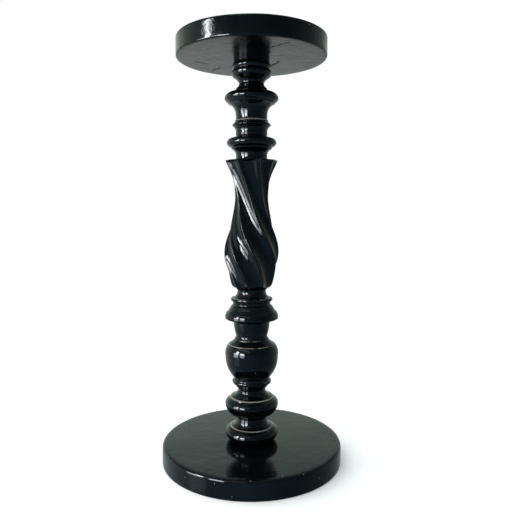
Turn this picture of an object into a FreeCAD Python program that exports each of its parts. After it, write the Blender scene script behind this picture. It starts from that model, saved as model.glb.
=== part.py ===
import FreeCAD, Part
import math
import os

from FreeCAD import Vector

# Wooden candlestick. Millimetres, +Z up, origin on the floor at the centre of the base.

# Overall sizes
HEIGHT = 440.0
BASE_R = 95.3
BASE_T = 20.0
BASE_TOP_ROUND = 3.0
BASE_FOOT_ROUND = 1.0
TOP_R = 77.2
TOP_T = 19.0
TOP_EDGE_ROUND = 1.2
LOWER_TOP_Z = 183.5
TWIST_TOP_Z = 317.6

# Hidden joinery
DOWEL_R = 6.0
DOWEL_LENGTH = 50.0
PLATE_DOWEL_LENGTH = 30.0
PLATE_DOWEL_DEPTH = 12.0
DOWEL_HOLE_R = 6.05
DOWEL_HOLE_EXTRA = 1.0
TENON_R = 12.0
TENON_LENGTH = 5.5
MORTISE_R = 12.1
MORTISE_DEPTH = 6.0
SCREW_SHANK_R = 2.5
SCREW_LENGTH = 65.0
SCREW_POINT = 8.0
SCREW_TIP_R = 0.3
SCREW_HOLE_R = 2.75
SCREW_HEAD_R = 4.6
SCREW_HEAD_HEIGHT = 3.2
WASHER_R = 8.0
WASHER_T = 1.5
WASHER_HOLE_R = 2.9
WASHER_LOW = 6.0
COUNTERBORE_R = 8.6

# Turned outlines, from the bottom up. Each entry is a radius, a height and the bulge of the arc that
# leads there: positive swells outwards, negative is hollow and zero is straight.
LOWER_OUTLINE = [
    (19.1, BASE_T, 0.0),
    (28.5, 28.7, 2.0),
    (23.4, 35.0, 1.4),
    (22.2, 36.2, 0.0),
    (16.7, 41.5, -1.2),
    (15.8, 46.0, -0.15),
    (17.1, 47.3, 0.0),
    (28.2, 59.0, 2.4),
    (23.9, 66.0, 1.8),
    (22.9, 68.2, 0.0),
    (15.0, 73.4, -0.95),
    (14.7, 76.7, -0.1),
    (19.2, 82.2, 0.1),
    (19.5, 86.8, 1.6),
    (19.5, 89.4, 0.0),
    (28.2, 112.3, 2.4),
    (25.5, 124.2, 1.3),
    (24.9, 125.1, 0.0),
    (18.3, 129.8, -0.3),
    (18.3, 130.7, 0.0),
    (16.7, 134.2, -0.4),
    (19.2, 148.7, 0.6),
    (25.3, 152.1, 0.0),
    (28.4, 153.8, 1.3),
    (25.0, 160.9, 1.0),
    (23.4, 163.1, 0.0),
    (19.8, 167.7, 0.5),
    (20.0, 168.9, 0.0),
    (20.5, 170.8, 0.0),
    (21.5, 174.6, 1.3),
    (18.1, 175.6, 0.0),
    (15.3, 179.4, -0.4),
    (15.5, LOWER_TOP_Z, -0.35),
]
UPPER_OUTLINE = [
    (16.9, TWIST_TOP_Z, 0.0),
    (16.5, 325.0, -0.4),
    (20.2, 329.1, -0.6),
    (21.3, 331.2, 0.4),
    (25.8, 335.0, 0.7),
    (22.5, 340.3, 1.2),
    (16.1, 343.1, -0.35),
    (16.6, 345.0, 0.0),
    (16.7, 349.6, -0.3),
    (20.2, 353.5, -0.3),
    (17.6, 356.5, 0.4),
    (17.4, 358.4, 0.0),
    (16.4, 359.3, 0.0),
    (16.5, 365.5, -0.15),
    (24.0, 375.5, -2.0),
    (25.2, 377.2, 0.0),
    (27.7, 382.3, 1.1),
    (17.9, 386.5, 2.0),
    (15.9, 391.0, 0.0),
    (12.8, 396.3, -0.8),
    (18.9, 402.4, -0.8),
    (20.1, 408.4, 1.0),
    (18.6, 410.0, 0.0),
    (19.5, 414.6, 1.0),
    (18.7, 417.0, -0.3),
    (18.7, HEIGHT - TOP_T, 0.0),
]

# Carved left-handed twist. CREST_TURNS pairs a height with how far round the first crest has turned there,
# in degrees from the front towards the right, and CREST_RADII pairs the crests' radius with a height.
# The carving is by hand, so each crest strays a few degrees from its even place by TWIST_UNEVEN.
TWIST_STARTS = 8
TWIST_HOLLOW = 0.85
TWIST_UNEVEN = [0.0, -0.4, -5.0, -6.0, 1.5, 1.0, -3.3, -4.5]
CREST_TURNS = [
    (183.5, 88.1), (205.0, 68.7), (225.0, 50.4), (245.0, 28.0), (265.0, 8.7), (285.0, -9.9),
    (305.0, -26.8), (317.6, -31.6),
]
CREST_RADII = [
    (15.9, 183.5), (18.8, 184.9), (21.8, 187.4), (23.3, 191.0), (25.5, 198.0), (27.5, 205.0),
    (29.7, 213.0), (30.1, 221.0), (29.1, 230.0), (26.7, 240.0), (23.8, 250.0), (21.0, 260.0),
    (18.9, 270.0), (18.2, 280.0), (19.5, 290.0), (21.4, 300.0), (23.2, 306.0), (25.5, 311.0),
    (27.4, 315.2), (27.9, 316.6),
]
LIP_R = 27.4


def arc_middle(start, end, bulge):
    along = end - start
    outward = Vector(along.z, 0.0, -along.x).normalize()
    return (start + end) * 0.5 + outward * bulge


def outline_edges(outline):
    points = [Vector(r, 0.0, z) for r, z, bulge in outline]
    edges = []
    for index in range(1, len(points)):
        start = points[index - 1]
        end = points[index]
        bulge = outline[index][2]
        if bulge == 0.0:
            edges.append(Part.makeLine(start, end))
        else:
            edges.append(Part.Arc(start, arc_middle(start, end, bulge), end).toShape())
    return edges


def turned(outline):
    edges = outline_edges(outline)
    low = Vector(outline[0][0], 0.0, outline[0][1])
    high = Vector(outline[-1][0], 0.0, outline[-1][1])
    low_centre = Vector(0.0, 0.0, low.z)
    high_centre = Vector(0.0, 0.0, high.z)
    closing = [
        Part.makeLine(high, high_centre),
        Part.makeLine(high_centre, low_centre),
        Part.makeLine(low_centre, low),
    ]
    face = Part.Face(Part.Wire(edges + closing))
    return face.revolve(Vector(0, 0, 0), Vector(0, 0, 1), 360.0)


def rod(radius, low, high):
    return Part.makeCylinder(radius, high - low, Vector(0.0, 0.0, low))


def save(name, shape):
    shape.exportStep("parts/" + name + ".step")


# Heights of the hidden joints
LOWER_DOWEL_LOW = LOWER_TOP_Z - DOWEL_LENGTH / 2
LOWER_DOWEL_HIGH = LOWER_TOP_Z + DOWEL_LENGTH / 2
UPPER_DOWEL_LOW = TWIST_TOP_Z - DOWEL_LENGTH / 2
UPPER_DOWEL_HIGH = TWIST_TOP_Z + DOWEL_LENGTH / 2
TOP_DOWEL_HIGH = HEIGHT - TOP_T + PLATE_DOWEL_DEPTH
TOP_DOWEL_LOW = TOP_DOWEL_HIGH - PLATE_DOWEL_LENGTH
SCREW_SEAT = WASHER_LOW
SCREW_TIP = SCREW_SEAT + SCREW_LENGTH
WASHER_HIGH = SCREW_SEAT + WASHER_T


def dowel_hole(low, high):
    return rod(DOWEL_HOLE_R, low - DOWEL_HOLE_EXTRA, high + DOWEL_HOLE_EXTRA)


def plate(radius, low, thickness, low_round, high_round):
    high = low + thickness
    low_mid = low_round * (1.0 - math.sqrt(0.5))
    high_mid = high_round * (1.0 - math.sqrt(0.5))
    low_arc = Part.Arc(
        Vector(radius - low_round, 0.0, low),
        Vector(radius - low_mid, 0.0, low + low_mid),
        Vector(radius, 0.0, low + low_round),
    )
    high_arc = Part.Arc(
        Vector(radius, 0.0, high - high_round),
        Vector(radius - high_mid, 0.0, high - high_mid),
        Vector(radius - high_round, 0.0, high),
    )
    edges = [
        Part.makeLine(Vector(0.0, 0.0, low), Vector(radius - low_round, 0.0, low)),
        low_arc.toShape(),
        Part.makeLine(Vector(radius, 0.0, low + low_round), Vector(radius, 0.0, high - high_round)),
        high_arc.toShape(),
        Part.makeLine(Vector(radius - high_round, 0.0, high), Vector(0.0, 0.0, high)),
        Part.makeLine(Vector(0.0, 0.0, high), Vector(0.0, 0.0, low)),
    ]
    return Part.Face(Part.Wire(edges)).revolve(Vector(0, 0, 0), Vector(0, 0, 1), 360.0)


def top_plate():
    disc = plate(TOP_R, HEIGHT - TOP_T, TOP_T, TOP_EDGE_ROUND, TOP_EDGE_ROUND)
    return disc.cut(dowel_hole(TOP_DOWEL_LOW, TOP_DOWEL_HIGH))


def upper_spindle():
    column = turned(UPPER_OUTLINE)
    column = column.cut(dowel_hole(TOP_DOWEL_LOW, TOP_DOWEL_HIGH))
    return column.cut(dowel_hole(UPPER_DOWEL_LOW, UPPER_DOWEL_HIGH))


def crest_turn(height):
    for (low, low_turn), (high, high_turn) in zip(CREST_TURNS, CREST_TURNS[1:]):
        if low <= height <= high:
            return low_turn + (high_turn - low_turn) * (height - low) / (high - low)
    return CREST_TURNS[-1][1]


def crest_points(radius, height):
    points = []
    for start in range(TWIST_STARTS):
        turn = crest_turn(height) + 360.0 * start / TWIST_STARTS + TWIST_UNEVEN[start]
        turn = math.radians(turn)
        points.append(Vector(radius * math.sin(turn), -radius * math.cos(turn), height))
    return points


def twist_section(radius, height):
    points = crest_points(radius, height)
    edges = []
    for index in range(TWIST_STARTS):
        start = points[index]
        end = points[(index + 1) % TWIST_STARTS]
        middle = (start + end) * 0.5
        middle = Vector(middle.x * TWIST_HOLLOW, middle.y * TWIST_HOLLOW, height)
        edges.append(Part.Arc(start, middle, end).toShape())
    return Part.Wire(edges)


def twist_spindle():
    sections = [twist_section(radius, height) for radius, height in CREST_RADII]
    carved = Part.makeLoft(sections, True, False)
    twist = carved.fuse(rod(LIP_R, CREST_RADII[-1][1], TWIST_TOP_Z))
    twist = twist.cut(dowel_hole(LOWER_DOWEL_LOW, LOWER_DOWEL_HIGH))
    return twist.cut(dowel_hole(UPPER_DOWEL_LOW, UPPER_DOWEL_HIGH))


def lower_spindle():
    column = turned(LOWER_OUTLINE).fuse(rod(TENON_R, BASE_T - TENON_LENGTH, BASE_T))
    column = column.cut(dowel_hole(LOWER_DOWEL_LOW, LOWER_DOWEL_HIGH))
    return column.cut(rod(SCREW_SHANK_R, BASE_T - TENON_LENGTH, SCREW_TIP))


def base_plate():
    disc = plate(BASE_R, 0.0, BASE_T, BASE_FOOT_ROUND, BASE_TOP_ROUND)
    disc = disc.cut(rod(MORTISE_R, BASE_T - MORTISE_DEPTH, BASE_T))
    disc = disc.cut(rod(SCREW_HOLE_R, 0.0, BASE_T))
    return disc.cut(rod(COUNTERBORE_R, 0.0, WASHER_HIGH))


def base_washer():
    ring = rod(WASHER_R, SCREW_SEAT, WASHER_HIGH)
    return ring.cut(rod(WASHER_HOLE_R, SCREW_SEAT, WASHER_HIGH))


def base_screw():
    shoulder = SCREW_TIP - SCREW_POINT
    head = rod(SCREW_HEAD_R, SCREW_SEAT - SCREW_HEAD_HEIGHT, SCREW_SEAT)
    shank = rod(SCREW_SHANK_R, SCREW_SEAT, shoulder)
    point = Part.makeCone(SCREW_SHANK_R, SCREW_TIP_R, SCREW_POINT, Vector(0.0, 0.0, shoulder))
    return head.fuse(shank).fuse(point)


os.makedirs("parts", exist_ok=True)
save("top_plate", top_plate())
save("top_dowel", rod(DOWEL_R, TOP_DOWEL_LOW, TOP_DOWEL_HIGH))
save("upper_spindle", upper_spindle())
save("upper_dowel", rod(DOWEL_R, UPPER_DOWEL_LOW, UPPER_DOWEL_HIGH))
save("twist_spindle", twist_spindle())
save("lower_dowel", rod(DOWEL_R, LOWER_DOWEL_LOW, LOWER_DOWEL_HIGH))
save("lower_spindle", lower_spindle())
save("base_plate", base_plate())
save("base_screw", base_screw())
save("base_washer", base_washer())
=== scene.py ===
import math

import bpy
import numpy as np
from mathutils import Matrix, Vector, noise
from mathutils.bvhtree import BVHTree


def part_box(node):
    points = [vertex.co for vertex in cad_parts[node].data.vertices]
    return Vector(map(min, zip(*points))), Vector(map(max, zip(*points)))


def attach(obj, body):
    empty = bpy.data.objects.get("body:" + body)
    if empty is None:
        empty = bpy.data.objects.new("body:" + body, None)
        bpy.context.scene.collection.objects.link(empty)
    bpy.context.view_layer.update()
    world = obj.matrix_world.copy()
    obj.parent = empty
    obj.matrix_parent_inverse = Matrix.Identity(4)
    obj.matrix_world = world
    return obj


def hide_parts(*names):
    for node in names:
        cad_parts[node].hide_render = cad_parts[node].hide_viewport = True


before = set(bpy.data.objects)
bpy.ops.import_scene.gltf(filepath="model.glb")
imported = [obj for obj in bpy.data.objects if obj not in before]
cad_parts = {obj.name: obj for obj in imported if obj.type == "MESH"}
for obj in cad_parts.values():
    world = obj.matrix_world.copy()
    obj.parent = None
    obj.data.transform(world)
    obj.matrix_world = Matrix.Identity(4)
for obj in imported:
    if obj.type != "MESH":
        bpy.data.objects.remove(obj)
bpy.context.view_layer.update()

# Lengths are in metres and angles in degrees, unless a comment says otherwise
MILLIMETRES = 1000.0

# Fineness of the meshes: along an outline, along the twist, across a flat, and round the axis
STEP = 0.0005
TWIST_STEP = 0.0006
FLAT_STEP = 0.003
AROUND_SPINDLE = 168
AROUND_PLATE = 256
AROUND_TWIST = 320

# How widely lacquer rounds an arris
SPINDLE_SOFTENING = 0.00035
PLATE_SOFTENING = 0.0004
TWIST_SOFTENING = 0.0006

# How readily an arris is rubbed: on a plumb wall, how much more as it faces up, and the most
WEAR_ON_WALL = 0.3
WEAR_FACING_UP = 1.5
WEAR_MOST = 1.3

# How far sanded wood strays from true, and in how many waves a metre
UNEVENNESS = 0.0001
UNEVENNESS_SCALE = 28.0
UNEVENNESS_SEED = 7

# Wood stays true within this radius and over the foot, and strays fully this much further out and up
TRUE_WITHIN = 0.007
TRUE_FADE = 0.006
FOOT_FADE = 0.01

# Corners sharper than this keep hard shading
HARD_ANGLE = 50.0

# How fast the flutes turn with height, in radians a metre
TWIST_RATE = 16.6

# Splits and gouges under the top plate: where each starts and ends, and its width
SCARS = [
    ((0.0198, -0.0409), (0.0341, -0.0563), 0.0014),
    ((0.0207, 0.0276), (0.0295, 0.0082), 0.0026),
    ((-0.060, 0.010), (-0.047, 0.018), 0.0016),
    ((-0.034, 0.034), (-0.044, 0.046), 0.0015),
]

SCAR_WANDER = 0.006
SCAR_DEPTH = 0.0005

# The underside of the top plate is duller than the rest, up to this height above its face
UNDERSIDE = 0.0005
UNDERSIDE_DULLNESS = 0.15

# Radii that tell the parts of a turned piece's half-section apart
SCREW_HOLE = 0.005
BORE = 0.010
TENON = 0.0123
RIM = 0.03
OUTSIDE = 1.0

# How far from the seam a corner of a half-section may be
ON_SEAM = 1e-6

# Radius of the smallest ring, which closes the top of the top plate
SMALLEST_RING = 0.0005

# The twist is measured by rays from outside it, and just short of its ends
RAY_START = 0.05
SHORT_OF_END = 2e-5

# Scales of the lacquer's textures, in features a metre, and depths of its bumps
CLOUDS = 38.0
SWELL = 75.0
SWELL_DEPTH = 0.00015
KNOCKS = 170.0
NIBS = 240.0
NIB_DEPTH = 0.00006
PEEL = 420.0
PEEL_DEPTH = 0.00003
TURNED_MARKS = 900.0
LACQUER_IOR = 1.5

LACQUER_DARK = (0.0006, 0.0012, 0.0016, 1)
LACQUER_PALE = (0.0016, 0.0022, 0.0024, 1)
DUST = (0.45, 0.46, 0.46, 1)
BARE_WOOD_DARK = (0.070, 0.062, 0.054, 1)
BARE_WOOD_PALE = (0.245, 0.222, 0.196, 1)
GOUGE = (0.0015, 0.0015, 0.0015, 1)
BEECH_DARK = (0.52, 0.33, 0.18, 1)
BEECH_PALE = (0.66, 0.46, 0.28, 1)
BEECH_FLECK = (0.30, 0.17, 0.09, 1)
ZINC = (0.50, 0.50, 0.48, 1)
ZINC_STAIN = (0.30, 0.28, 0.25, 1)
WHITE = (1, 1, 1, 1)

CAMERA_AT = (0.0046, -0.5782, 0.2654)
CAMERA_TILT = 4.655
CAMERA_LENS = 38.67
CAMERA_SENSOR = 36.0
CAMERA_NEAREST = 0.01

# The window's distance from the column, and the height its elevations are taken from
WINDOW_AWAY = 2.0
WINDOW_LEVEL = 0.27
WINDOW_TINT = (0.93, 0.97, 1.0)

# The soft light overhead: its strength and spread, and how far it comes from the front and the left
OVERHEAD_STRENGTH = 4.6
OVERHEAD_SPREAD = 120
OVERHEAD_FRONT = 15.0
OVERHEAD_LEFT = 32.0

# Colours that the gloss mirrors behind and in front, from straight down at 0 to straight up at 1
ROOM_BEHIND = [
    (0.30, (0.38, 0.44, 0.43, 1)),
    (0.355, (0.66, 0.68, 0.67, 1)),
    (0.66, (0.66, 0.80, 0.72, 1)),
    (0.75, (0.24, 0.33, 0.30, 1)),
]
ROOM_IN_FRONT = [
    (0.42, (0.120, 0.210, 0.275, 1)),
    (0.62, (0.085, 0.130, 0.150, 1)),
]

# The floor is a square that reaches this far from the column
FLOOR_REACH = 1.2
FLOOR_COLOUR = (0.88, 0.88, 0.88, 1)


# Shapes ---------------------------------------------------------------------


def half_section(node, narrow, wide, upwards=True):
    """The (radius, height) corners of a turned CAD piece between two radii, in order of height."""
    corners = set()
    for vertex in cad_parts[node].data.vertices:
        x, y, z = vertex.co
        if abs(y) < ON_SEAM and narrow < x <= wide:
            corners.add((round(x, 6), round(z, 6)))
    return sorted(corners, key=lambda corner: (corner[1], corner[0]), reverse=not upwards)


def resampled(points, step):
    """The same line with points an even step apart."""
    line = np.array(points)
    lengths = np.concatenate([[0.0], np.cumsum(np.hypot(*np.diff(line, axis=0).T))])
    wanted = np.linspace(0.0, lengths[-1], max(2, round(lengths[-1] / step)) + 1)
    return np.column_stack([np.interp(wanted, lengths, line[:, k]) for k in (0, 1)])


def bell_weights(width):
    """How many points a bell curve reaches each way, and its weights. Its width is given in points."""
    reach = max(1, math.ceil(3 * width))
    weights = np.exp(-0.5 * (np.arange(-reach, reach + 1) / width) ** 2)
    return reach, weights / weights.sum()


def softened(line, step, width):
    """The line with its corners rounded as lacquer rounds them, and how much each arris lost.

    A loss counts most where the arris faces up, and it spreads one point to each side.
    """
    reach, weights = bell_weights(width / step)
    padded = np.pad(line, ((reach, reach), (0, 0)), mode="edge")
    soft = np.column_stack([np.convolve(padded[:, k], weights, mode="valid") for k in (0, 1)])
    soft[0], soft[-1] = line[0], line[-1]
    along = np.gradient(soft, axis=0)
    along /= np.linalg.norm(along, axis=1, keepdims=True)
    shift = line - soft
    upward = np.clip(WEAR_ON_WALL - WEAR_FACING_UP * along[:, 0], 0.0, WEAR_MOST)
    lost = upward * (shift[:, 0] * along[:, 1] - shift[:, 1] * along[:, 0])
    return soft, np.maximum.reduce([np.roll(lost, ring) for ring in (-1, 0, 1)])


def sharp(line):
    """The line as it is, with nothing lost."""
    return np.array(line, dtype=float).reshape(-1, 2), np.zeros(len(line))


def uneven(x, y, z):
    """A hand-sanded surface strays from true a little. Hidden bores stay true, and so does the foot."""
    amount = UNEVENNESS * min(1.0, max(0.0, (math.hypot(x, y) - TRUE_WITHIN) / TRUE_FADE))
    drift = noise.noise_vector(Vector((x, y, z)) * UNEVENNESS_SCALE) * amount
    return (x + drift.x, y + drift.y, z + drift.z * min(1.0, z / FOOT_FADE))


def skinned(name, rings, lost, around, closed=False):
    """A surface through rings about the axis, each (radii, height), with what each ring lost.

    The ends close to a point, or when closed the last ring joins the first.
    """
    turns = [2 * math.pi * k / around for k in range(around)]
    verts = [
        uneven(radius * math.sin(turn), -radius * math.cos(turn), height)
        for radii, height in rings
        for radius, turn in zip(radii, turns)
    ]
    count = len(rings)
    faces = []
    for i in range(count if closed else count - 1):
        low, high = i * around, (i + 1) % count * around
        for k in range(around):
            n = (k + 1) % around
            faces.append((low + k, low + n, high + n, high + k))
    losses = np.repeat(lost, around)
    if not closed:
        last = (count - 1) * around
        low_pole, high_pole = len(verts), len(verts) + 1
        verts += [(0.0, 0.0, rings[0][1]), (0.0, 0.0, rings[-1][1])]
        losses = np.append(losses, [0.0, 0.0])
        for k in range(around):
            n = (k + 1) % around
            faces += [(n, k, low_pole), (last + k, last + n, high_pole)]
    mesh = bpy.data.meshes.new(name)
    mesh.from_pydata(verts, [], faces)
    mesh.polygons.foreach_set("use_smooth", [True] * len(faces))
    mesh.attributes.new("edge", "FLOAT", "POINT").data.foreach_set("value", losses * MILLIMETRES)
    mesh.update()
    mesh.set_sharp_from_angle(angle=math.radians(HARD_ANGLE))
    piece = bpy.data.objects.new(name, mesh)
    bpy.context.scene.collection.objects.link(piece)
    return piece


def turned(name, chains, around, closed=False):
    """A turned piece from stretches of its half-section, each an array of corners and what each lost."""
    line = np.concatenate([corners for corners, lost in chains])
    lost = np.concatenate([lost for corners, lost in chains])
    rings = [([radius] * around, height) for radius, height in line]
    return skinned(name, rings, lost, around, closed)


def spindle(name, node):
    """A length of the turned column, with a bore or a tenon at each end."""
    middle = sum(corner[2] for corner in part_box(node)) / 2
    outline = resampled(half_section(node, TENON, OUTSIDE), STEP)
    bores = half_section(node, 0.0, BORE, upwards=False)
    chains = [
        sharp([corner for corner in bores if corner[1] < middle]),
        sharp(half_section(node, BORE, TENON)),
        softened(outline, STEP, SPINDLE_SOFTENING),
        sharp([corner for corner in bores if corner[1] > middle]),
    ]
    return turned(name, chains, AROUND_SPINDLE)


def flat(start, end):
    """The points of a flat face between two corners, without the corners themselves."""
    return sharp(resampled([start, end], FLAT_STEP)[1:-1])


def plate(name, node, underside, topside, closed):
    """A disc. underside and topside are the sharp corners of its bores there, from the inside out and in."""
    rim = half_section(node, RIM, OUTSIDE)
    soft = softened(resampled(rim, STEP), STEP, PLATE_SOFTENING)
    chains = [sharp(underside), flat(underside[-1], rim[0]), soft, flat(rim[-1], topside[0]), sharp(topside)]
    return turned(name, chains, AROUND_PLATE, closed)


def carved_radii(node, heights):
    """The distance from the axis to the surface of a CAD piece, by height and by direction."""
    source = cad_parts[node].data
    tree = BVHTree.FromPolygons([v.co for v in source.vertices], [p.vertices for p in source.polygons])
    grid = np.zeros((len(heights), AROUND_TWIST))
    for k in range(AROUND_TWIST):
        turn = 2 * math.pi * k / AROUND_TWIST
        out = Vector((math.sin(turn), -math.cos(turn), 0.0))
        for i, height in enumerate(heights):
            start = out * RAY_START + Vector((0.0, 0.0, height))
            grid[i, k] = tree.ray_cast(start, -out)[0].dot(out)
    return grid


def rounded_grid(grid, step, width):
    """Arrises of the carving rounded as lacquer rounds them, along the axis and around it."""
    reach, weights = bell_weights(width / step)
    padded = np.pad(grid, ((reach, reach), (0, 0)), mode="edge")
    soft = sum(weight * padded[k : k + len(grid)] for k, weight in enumerate(weights))
    reach, weights = bell_weights(width / (2 * math.pi * grid.mean() / AROUND_TWIST))
    return sum(weight * np.roll(soft, k - reach, axis=1) for k, weight in enumerate(weights))


def twist(name, node):
    """The carved length of the column, with a bore at each end."""
    low, high = (corner[2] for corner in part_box(node))
    heights = np.linspace(low, high, round((high - low) / TWIST_STEP) + 1)
    grid = carved_radii(node, np.clip(heights, low + SHORT_OF_END, high - SHORT_OF_END))
    soft = rounded_grid(grid, TWIST_STEP, TWIST_SOFTENING)
    corners = half_section(node, 0.0, BORE, upwards=False)
    bores = [([radius] * AROUND_TWIST, height) for radius, height in corners]
    high_bore, low_bore = bores[:2], bores[2:]
    rings = low_bore + list(zip(soft, heights)) + high_bore
    piece = skinned(name, rings, np.zeros(len(rings)), AROUND_TWIST)
    lost = np.zeros(len(piece.data.vertices))
    start = len(low_bore) * AROUND_TWIST
    lost[start : start + grid.size] = (grid - soft).ravel() * MILLIMETRES
    piece.data.attributes["edge"].data.foreach_set("value", lost)
    return piece


# Materials ------------------------------------------------------------------


class Nodes:
    """A node tree being built."""

    def __init__(self, tree):
        self.tree = tree

    def feed(self, socket, value):
        if isinstance(value, bpy.types.NodeSocket):
            self.tree.links.new(value, socket)
        else:
            socket.default_value = value

    def add(self, kind, inputs=None, **settings):
        made = self.tree.nodes.new(kind)
        for key, value in settings.items():
            setattr(made, key, value)
        for key, value in (inputs or {}).items():
            self.feed(made.inputs[key], value)
        return made

    def math(self, operation, first, second=0.0):
        return self.add("ShaderNodeMath", {0: first, 1: second}, operation=operation).outputs[0]

    def vector(self, operation, first, second, output="Vector"):
        made = self.add("ShaderNodeVectorMath", {0: first, 1: second}, operation=operation)
        return made.outputs[output]

    def scaled(self, vector, scale):
        return self.add("ShaderNodeVectorMath", {0: vector, "Scale": scale}, operation="SCALE").outputs[0]

    def ranged(self, value, low, high, start=0.0, end=1.0):
        inputs = {"Value": value, "From Min": low, "From Max": high, "To Min": start, "To Max": end}
        return self.add("ShaderNodeMapRange", inputs).outputs["Result"]

    def mix(self, share, first, second):
        inputs = {"Factor": share, "A": first, "B": second}
        return self.add("ShaderNodeMix", inputs, data_type="RGBA").outputs["Result"]

    def ramp(self, value, stops):
        """The colour of a value between (value, colour) stops, of which there are two or more."""
        made = self.add("ShaderNodeValToRGB", {"Fac": value})
        elements = made.color_ramp.elements
        for element, (position, colour) in zip(elements, stops):
            element.position = position
            element.color = colour
        for position, colour in stops[2:]:
            elements.new(position).color = colour
        return made.outputs["Color"]


class Finish(Nodes):
    """A material being built."""

    def __init__(self, name):
        self.material = bpy.data.materials.new(name)
        self.material.use_nodes = True
        super().__init__(self.material.node_tree)
        self.shader = self.tree.nodes["Principled BSDF"]
        self.place = self.add("ShaderNodeTexCoord").outputs["Object"]
        self.split = self.add("ShaderNodeSeparateXYZ", {0: self.place}).outputs

    def from_axis(self):
        across, deep = (self.math("MULTIPLY", self.split[axis], self.split[axis]) for axis in ("X", "Y"))
        return self.math("SQRT", self.math("ADD", across, deep))

    def noise(self, scale, detail=2.0, stretch=(1.0, 1.0, 1.0)):
        place = self.add("ShaderNodeMapping", {"Vector": self.place, "Scale": stretch}).outputs[0]
        inputs = {"Vector": place, "Scale": scale, "Detail": detail}
        return self.add("ShaderNodeTexNoise", inputs).outputs["Fac"]

    def bump(self, height, depth, onto=None):
        inputs = {"Height": height, "Distance": depth, "Strength": 1.0}
        if onto:
            inputs["Normal"] = onto
        return self.add("ShaderNodeBump", inputs).outputs["Normal"]


def dust_nibs(f, dust):
    """Round nibs of dust and how pale each is. dust is the share of places with one near a rim."""
    cells = f.add("ShaderNodeTexVoronoi", {"Vector": f.place, "Scale": NIBS}).outputs
    chosen = f.add("ShaderNodeSeparateColor", {0: cells["Color"]}).outputs
    speck = f.ranged(cells["Distance"], 0.115, 0.06)
    rare = f.ranged(f.from_axis(), 0.070, 0.090, 0.985, 1.0 - dust)
    return f.math("MULTIPLY", speck, f.math("GREATER_THAN", chosen["Red"], rare)), chosen["Green"]


def rubbed_through(f, rub_at, rubbed_below):
    """Where an arris is rubbed down to the wood, in uneven stretches."""
    arris = f.add("ShaderNodeAttribute", attribute_name="edge").outputs["Fac"]
    spared = f.ranged(f.split["Z"], rubbed_below, rubbed_below + 0.003, 1.0, 0.45)
    arris = f.math("MULTIPLY", arris, spared)
    patchy = f.math("ADD", f.noise(34.0, 1.0), f.math("MULTIPLY", f.noise(260.0, 3.0), 0.5))
    uneven_rub = f.ranged(patchy, 0.55, 0.85, -0.6 * rub_at, 0.05 * rub_at)
    return f.ranged(f.math("ADD", arris, uneven_rub), 0.5 * rub_at, 0.9 * rub_at)


def lacquer(name, along, rub_at, fine, dust, dents, rubbed_below=1.0):
    """Glossy near-black lacquer on wood, with tool marks, dust nibs and arrises rubbed through.

    along makes the socket across which the tool marks run, rub_at is how sharp an arris is when it is
    rubbed through, in millimetres, fine the depth of the marks, dust the share of dusty places near a rim,
    dents the depth of the knocks, and rubbed_below the height above which arrises are spared.
    """
    f = Finish(name)
    lines = f.add("ShaderNodeTexNoise", {"W": along(f), "Detail": 3.0}, noise_dimensions="1D").outputs["Fac"]
    clouds = f.noise(CLOUDS, 3.0)
    nib, paleness = dust_nibs(f, dust)
    worn = rubbed_through(f, rub_at, rubbed_below)
    tint = f.mix(f.ranged(clouds, 0.35, 0.7), LACQUER_DARK, LACQUER_PALE)
    dusty = f.mix(f.math("MULTIPLY", nib, paleness), tint, DUST)
    bare = f.mix(f.noise(PEEL, 3.0), BARE_WOOD_DARK, BARE_WOOD_PALE)
    f.feed(f.shader.inputs["Base Color"], f.mix(worn, dusty, bare))
    dullness = f.ranged(f.math("ADD", clouds, f.math("MULTIPLY", lines, 0.4)), 0.5, 0.95, 0.07, 0.15)
    f.feed(f.shader.inputs["Roughness"], f.math("ADD", dullness, f.math("MULTIPLY", worn, 0.22)))
    f.shader.inputs["IOR"].default_value = LACQUER_IOR
    normal = f.bump(f.noise(SWELL, 1.0), SWELL_DEPTH)
    normal = f.bump(f.noise(PEEL, 1.0), PEEL_DEPTH, normal)
    normal = f.bump(lines, fine, normal)
    normal = f.bump(f.noise(KNOCKS, 5.0, stretch=(1.0, 1.0, 0.7)), dents, normal)
    f.feed(f.shader.inputs["Normal"], f.bump(nib, NIB_DEPTH, normal))
    return f


def scar(f, start, end, width):
    """A split or a gouge between two points, which wanders a little off straight."""
    line = Vector(end) - Vector(start)
    wander = f.add("ShaderNodeTexNoise", {"Vector": f.place, "Scale": 130.0, "Detail": 2.0}).outputs["Color"]
    shift = f.scaled(f.vector("SUBTRACT", wander, (0.5, 0.5, 0.5)), SCAR_WANDER)
    offset = f.vector("SUBTRACT", f.vector("ADD", f.place, shift), start)
    along = f.vector("DOT_PRODUCT", offset, tuple(line), "Value")
    nearest = f.scaled(tuple(line), f.ranged(along, 0.0, line.length_squared))
    away = f.vector("DISTANCE", offset, nearest, "Value")
    return f.ranged(away, width, 0.3 * width)


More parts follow.
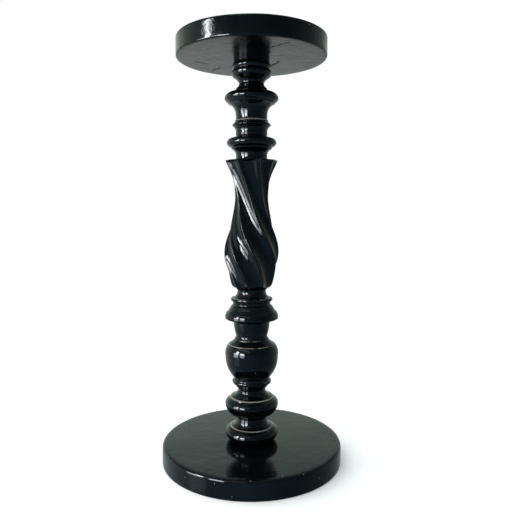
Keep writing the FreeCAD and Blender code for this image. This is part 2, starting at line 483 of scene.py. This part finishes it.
def scarred(f):
    """A finished lacquer made duller underneath, with splits and gouges cut into it."""
    shader = f.shader
    colour = shader.inputs["Base Color"].links[0].from_socket
    normal = shader.inputs["Normal"].links[0].from_socket
    dullness = shader.inputs["Roughness"].links[0].from_socket
    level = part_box("top_plate")[0][2]
    underside = f.math("LESS_THAN", f.split["Z"], level + UNDERSIDE)
    dullness = f.math("ADD", dullness, f.math("MULTIPLY", underside, UNDERSIDE_DULLNESS))
    for (x0, y0), (x1, y1), width in SCARS:
        mark = scar(f, (x0, y0, level), (x1, y1, level), width)
        colour = f.mix(mark, colour, GOUGE)
        dullness = f.math("ADD", dullness, f.math("MULTIPLY", mark, 0.3))
        normal = f.bump(f.math("MULTIPLY", mark, -1.0), SCAR_DEPTH, normal)
    f.feed(shader.inputs["Base Color"], colour)
    f.feed(shader.inputs["Roughness"], dullness)
    f.feed(shader.inputs["Normal"], normal)
    return f


def lathe_marks(f):
    """Rings round the axis, on faces and on walls."""
    return f.math("MULTIPLY", f.math("ADD", f.from_axis(), f.split["Z"]), TURNED_MARKS)


def rasp_marks(f):
    """Strokes that follow the flutes of the twist, and waver."""
    bearing = f.math("ARCTAN2", f.split["X"], f.math("MULTIPLY", f.split["Y"], -1.0))
    unwound = f.math("ADD", bearing, f.math("MULTIPLY", f.split["Z"], TWIST_RATE))
    waver = f.math("MULTIPLY", f.noise(60.0, 2.0), 1.5)
    return f.math("ADD", f.math("MULTIPLY", unwound, 7.0), waver)


def dowel_wood():
    """Straight-grained beech with small dark flecks."""
    f = Finish("dowel_wood")
    grain = f.noise(900.0, 3.0, stretch=(1.0, 1.0, 0.05))
    flecks = f.noise(2200.0, 2.0, stretch=(1.0, 1.0, 0.12))
    beech = f.mix(f.ranged(grain, 0.35, 0.68), BEECH_DARK, BEECH_PALE)
    f.feed(f.shader.inputs["Base Color"], f.mix(f.ranged(flecks, 0.62, 0.75), beech, BEECH_FLECK))
    f.feed(f.shader.inputs["Roughness"], f.ranged(grain, 0.3, 0.7, 0.55, 0.75))
    f.feed(f.shader.inputs["Normal"], f.bump(grain, 0.00008))
    return f


def zinc_steel():
    """Zinc plate, stained in patches and finely scratched."""
    f = Finish("zinc_steel")
    stains = f.noise(500.0, 4.0)
    scratches = f.noise(2500.0, 2.0, stretch=(0.08, 1.0, 1.0))
    f.feed(f.shader.inputs["Base Color"], f.mix(f.ranged(stains, 0.4, 0.75), ZINC, ZINC_STAIN))
    f.feed(f.shader.inputs["Roughness"], f.ranged(f.math("ADD", stains, scratches), 0.7, 1.3, 0.28, 0.5))
    f.shader.inputs["Metallic"].default_value = 1.0
    f.feed(f.shader.inputs["Normal"], f.bump(scratches, 0.00001))
    return f


# Stage ----------------------------------------------------------------------


def room():
    """The room that the gloss mirrors. The lens sees plain white instead.

    It is paler behind the object, dim and cool in front, and dimmer to the right.
    """
    world = bpy.data.worlds.new("room")
    bpy.context.scene.world = world
    world.use_nodes = True
    n = Nodes(world.node_tree)
    sky = n.tree.nodes["Background"]
    direction = n.add("ShaderNodeTexCoord").outputs["Generated"]
    split = n.add("ShaderNodeSeparateXYZ", {0: direction}).outputs
    height = n.ranged(split["Z"], -1.0, 1.0)
    behind = n.ranged(split["Y"], -0.6, 0.75)
    colour = n.mix(behind, n.ramp(height, ROOM_IN_FRONT), n.ramp(height, ROOM_BEHIND))
    n.feed(sky.inputs["Color"], colour)
    n.feed(sky.inputs["Strength"], n.ranged(split["X"], -0.2, 0.9, 1.08, 0.45))
    plain = n.add("ShaderNodeBackground", {"Color": WHITE}).outputs["Background"]
    to_lens = n.add("ShaderNodeLightPath").outputs["Is Camera Ray"]
    inputs = {"Fac": to_lens, 1: sky.outputs["Background"], 2: plain}
    n.feed(n.tree.nodes["World Output"].inputs["Surface"], n.add("ShaderNodeMixShader", inputs).outputs[0])


def lamp(name, light):
    made = bpy.data.objects.new(name, light)
    bpy.context.scene.collection.objects.link(made)
    return made


def pane(name, bearings, elevations, radiance):
    """A bright pane that only gloss shows, between two bearings from the front and two elevations."""
    left, right = (math.radians(angle) for angle in bearings)
    low, high = (WINDOW_AWAY * math.tan(math.radians(angle)) for angle in elevations)
    light = bpy.data.lights.new(name, "AREA")
    light.shape = "RECTANGLE"
    light.size = 2 * WINDOW_AWAY * math.tan((right - left) / 2)
    light.size_y = high - low
    light.energy = radiance * math.pi * light.size * light.size_y
    light.color = WINDOW_TINT
    light.cycles.max_bounces = 0
    middle = (left + right) / 2
    out = Vector((math.sin(middle), -math.cos(middle), 0.0))
    made = lamp(name, light)
    made.location = out * WINDOW_AWAY + Vector((0.0, 0.0, WINDOW_LEVEL + (low + high) / 2))
    made.rotation_euler = out.to_track_quat("Z", "Y").to_euler()
    made.visible_diffuse = False
    made.visible_camera = False


def window():
    """A window of two casements to the left of the camera, brightest towards its head, and what it lights."""
    pane("left_low", (-80.0, -59.0), (-18.0, 0.0), 6.0)
    pane("left_middle", (-80.0, -60.0), (0.0, 8.0), 15.0)
    pane("left_high", (-69.5, -59.5), (8.0, 23.0), 28.0)
    pane("right_low", (-50.0, -32.0), (-16.0, 0.0), 6.0)
    pane("right_middle", (-50.0, -31.0), (0.0, 8.0), 15.0)
    pane("right_high", (-50.0, -33.0), (8.0, 15.0), 26.0)
    pane("curtain", (-85.0, -10.0), (33.0, 50.0), 0.6)
    pane("sill", (-80.0, -56.0), (-33.0, -21.0), 0.4)


def overhead():
    """Wide soft light from above, the front and the left, that no gloss mirrors."""
    light = bpy.data.lights.new("overhead", "SUN")
    light.energy = OVERHEAD_STRENGTH
    light.angle = math.radians(OVERHEAD_SPREAD)
    made = lamp("overhead", light)
    made.rotation_euler = (math.radians(OVERHEAD_FRONT), math.radians(-OVERHEAD_LEFT), 0.0)
    made.visible_glossy = False


def floor():
    material = bpy.data.materials.new("pale_floor")
    material.use_nodes = True
    shader = material.node_tree.nodes["Principled BSDF"]
    shader.inputs["Base Color"].default_value = FLOOR_COLOUR
    shader.inputs["Roughness"].default_value = 1.0
    mesh = bpy.data.meshes.new("floor")
    sides = [(-1, -1), (1, -1), (1, 1), (-1, 1)]
    corners = [(x * FLOOR_REACH, y * FLOOR_REACH, 0) for x, y in sides]
    mesh.from_pydata(corners, [], [(0, 1, 2, 3)])
    mesh.materials.append(material)
    ground = bpy.data.objects.new("floor", mesh)
    ground.visible_glossy = False
    bpy.context.scene.collection.objects.link(ground)


def camera():
    lens = bpy.data.cameras.new("camera")
    lens.lens = CAMERA_LENS
    lens.sensor_width = CAMERA_SENSOR
    lens.clip_start = CAMERA_NEAREST
    eye = bpy.data.objects.new("camera", lens)
    eye.location = CAMERA_AT
    eye.rotation_euler = (math.radians(90.0 - CAMERA_TILT), 0.0, 0.0)
    bpy.context.scene.collection.objects.link(eye)
    bpy.context.scene.camera = eye


room()
overhead()
window()
floor()
camera()
bpy.context.scene.view_settings.view_transform = "Standard"
noise.seed_set(UNEVENNESS_SEED)

top_bore = half_section("top_plate", 0.0, BORE, upwards=False)
screw_hole = half_section("base_plate", 0.0, SCREW_HOLE, upwards=False)
counterbore = half_section("base_plate", SCREW_HOLE, BORE, upwards=False)
base_bores = screw_hole + counterbore
mortise = half_section("base_plate", BORE, TENON, upwards=False)
top_centre = (SMALLEST_RING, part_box("top_plate")[1][2])
turned_lacquer = {"along": lathe_marks, "rub_at": 0.045, "fine": 0.000008, "dust": 0.04, "dents": 0.00002}
upper = lacquer("upper_lacquer", **turned_lacquer, rubbed_below=0.400)
lower = lacquer("lower_lacquer", **turned_lacquer, rubbed_below=0.128)
carved = lacquer("carved_lacquer", rasp_marks, rub_at=3.0, fine=0.000010, dust=0.05, dents=0.00003)
base = lacquer("base_lacquer", lathe_marks, rub_at=0.09, fine=0.000006, dust=0.35, dents=0.00002)
top = scarred(lacquer("top_lacquer", lathe_marks, rub_at=0.13, fine=0.000006, dust=0.12, dents=0.00028))
pieces = [
    (plate("top_disc", "top_plate", top_bore, [top_centre], False), "top_plate", "lacquer_plate", top),
    (plate("base_disc", "base_plate", base_bores, mortise, True), "base_plate", "lacquer_plate", base),
    (spindle("upper_column", "upper_spindle"), "upper_spindle", "lacquer_column", upper),
    (spindle("lower_column", "lower_spindle"), "lower_spindle", "lacquer_column", lower),
    (twist("carved_twist", "twist_spindle"), "twist_spindle", "lacquer_column", carved),
]
for piece, node, slot, finish in pieces:
    piece.data.materials.append(finish.material)
    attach(piece, "root")
    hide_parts(node)

wood = dowel_wood()
steel = zinc_steel()
hardware = {
    "top_dowel": wood,
    "upper_dowel": wood,
    "lower_dowel": wood,
    "base_screw": steel,
    "base_washer": steel,
}
for node, finish in hardware.items():
    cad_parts[node].data.materials.clear()
    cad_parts[node].data.materials.append(finish.material)
